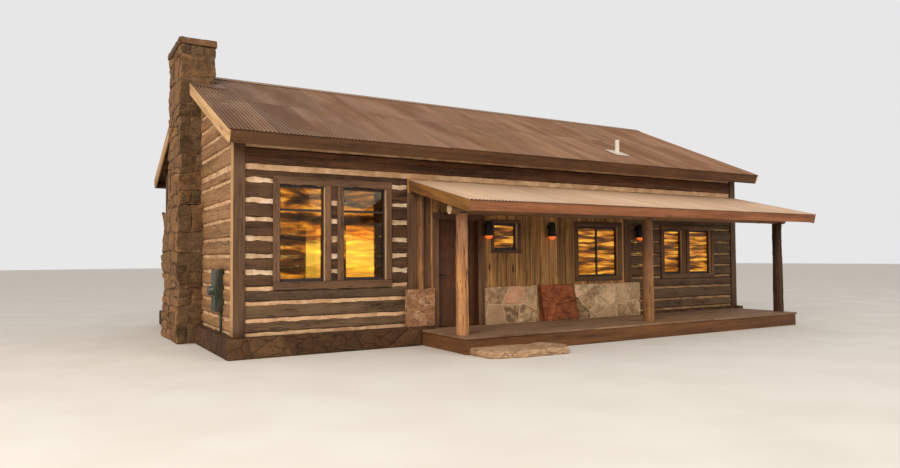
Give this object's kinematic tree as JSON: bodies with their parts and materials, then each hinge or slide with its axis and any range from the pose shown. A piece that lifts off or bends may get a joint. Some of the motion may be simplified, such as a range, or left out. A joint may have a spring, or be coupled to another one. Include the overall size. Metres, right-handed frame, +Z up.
{
  "type": "log cabin",
  "caption": "Log cabin with a stone end chimney, low gabled metal roof, board-clad entry wall and a covered front porch on peeled posts, with a door that opens inwards.",
  "frame": {"origin": "on the ground under the middle of the front wall, on the underside of the front footing", "axes": "+X along the front towards the right gable, +Y from the porch into the house, +Z up"},
  "size_m": [13.485, 10.22, 6.1],
  "materials": {
    "hewn_logs": "weathered hewn logs, grey brown",
    "chinking": "trowelled mortar chinking, cream grey",
    "footing_stone": "rough dark rubble stone",
    "chimney_stone": "rough field stone masonry, red brown and grey",
    "wainscot_stone": "cream and tan flagstone with pale joints",
    "red_sandstone": "split red sandstone slab",
    "step_stone": "pale flat field stone",
    "floor_boards": "plain indoor floor boards",
    "roof_boards": "sawn roof boards, matte",
    "rusty_sheet": "corrugated steel with rust streaks",
    "pale_sheet": "corrugated galvanised steel, pale",
    "dark_trim": "dark stained boards",
    "cedar_trim": "reddish cedar boards",
    "yellow_trim": "pale pine barge boards",
    "peeled_pole": "peeled round timber, warm tan",
    "deck_boards": "weathered deck boards",
    "deck_rim": "brown stained rim boards",
    "wall_boards": "weathered upright boards",
    "casing_boards": "weathered flat casing boards",
    "window_frame": "dark bronze frame, satin",
    "window_glass": "clear glass",
    "door_wood": "dark stained plank door",
    "black_iron": "black painted iron, satin",
    "lamp_glass": "amber glass",
    "vent_metal": "pale painted vent pipe",
    "meter_green": "dark green enamel"
  },
  "bodies": {
    "cabin": {"back_logs": "hewn_logs", "barge_boards": "yellow_trim", "chimney": "chimney_stone", "chimney_cap": "chimney_stone", "chinking": "chinking", "corner_posts": "hewn_logs", "door_casing": "casing_boards", "door_frame": "door_wood", "eave_fascias": "dark_trim", "entry_pole": "peeled_pole", "entry_stonework": "wainscot_stone", "entry_trim_boards": "casing_boards", "entry_wall_left": "wall_boards", "entry_wall_over_door": "wall_boards", "entry_wall_right": "wall_boards", "floor": "floor_boards", "floor_sleepers": "roof_boards", "front_logs": "hewn_logs", "gable_footings": "footing_stone", "hinge_pins": "black_iron", "lamp_globes": "lamp_glass", "left_gable_logs": "hewn_logs", "long_footings": "footing_stone", "meter_box": "meter_green", "porch_beam": "peeled_pole", "porch_boards": "deck_boards", "porch_fascia": "cedar_trim", "porch_joists": "roof_boards", "porch_ledger": "roof_boards", "porch_posts": "peeled_pole", "porch_rafters": "roof_boards", "porch_rakes": "cedar_trim", "porch_rim": "deck_rim", "porch_roof_boards": "roof_boards", "porch_roof_sheet": "pale_sheet", "rafters": "roof_boards", "red_stone_panel": "red_sandstone", "ridge_beam": "roof_boards", "ridge_cap": "rusty_sheet", "right_gable_logs": "hewn_logs", "roof_boards_back": "roof_boards", "roof_boards_front": "roof_boards", "roof_sheet_back": "rusty_sheet", "roof_sheet_front": "rusty_sheet", "roof_vent": "vent_metal", "stone_step": "step_stone", "wall_lamps": "black_iron", "window_casings": "casing_boards", "window_frames": "window_frame", "window_glass": "window_glass"},
    "door": {"door_leaf": "door_wood", "door_handles": "black_iron", "hinge_knuckles": "black_iron"}
  },
  "joints": [
    {"name": "door_swing", "type": "hinge", "parent": "cabin", "child": "door", "pos_m": [-1.6035, 0.084, 1.3], "axis": [0, 0, -1], "range_deg": [0, 95]}
  ]
}
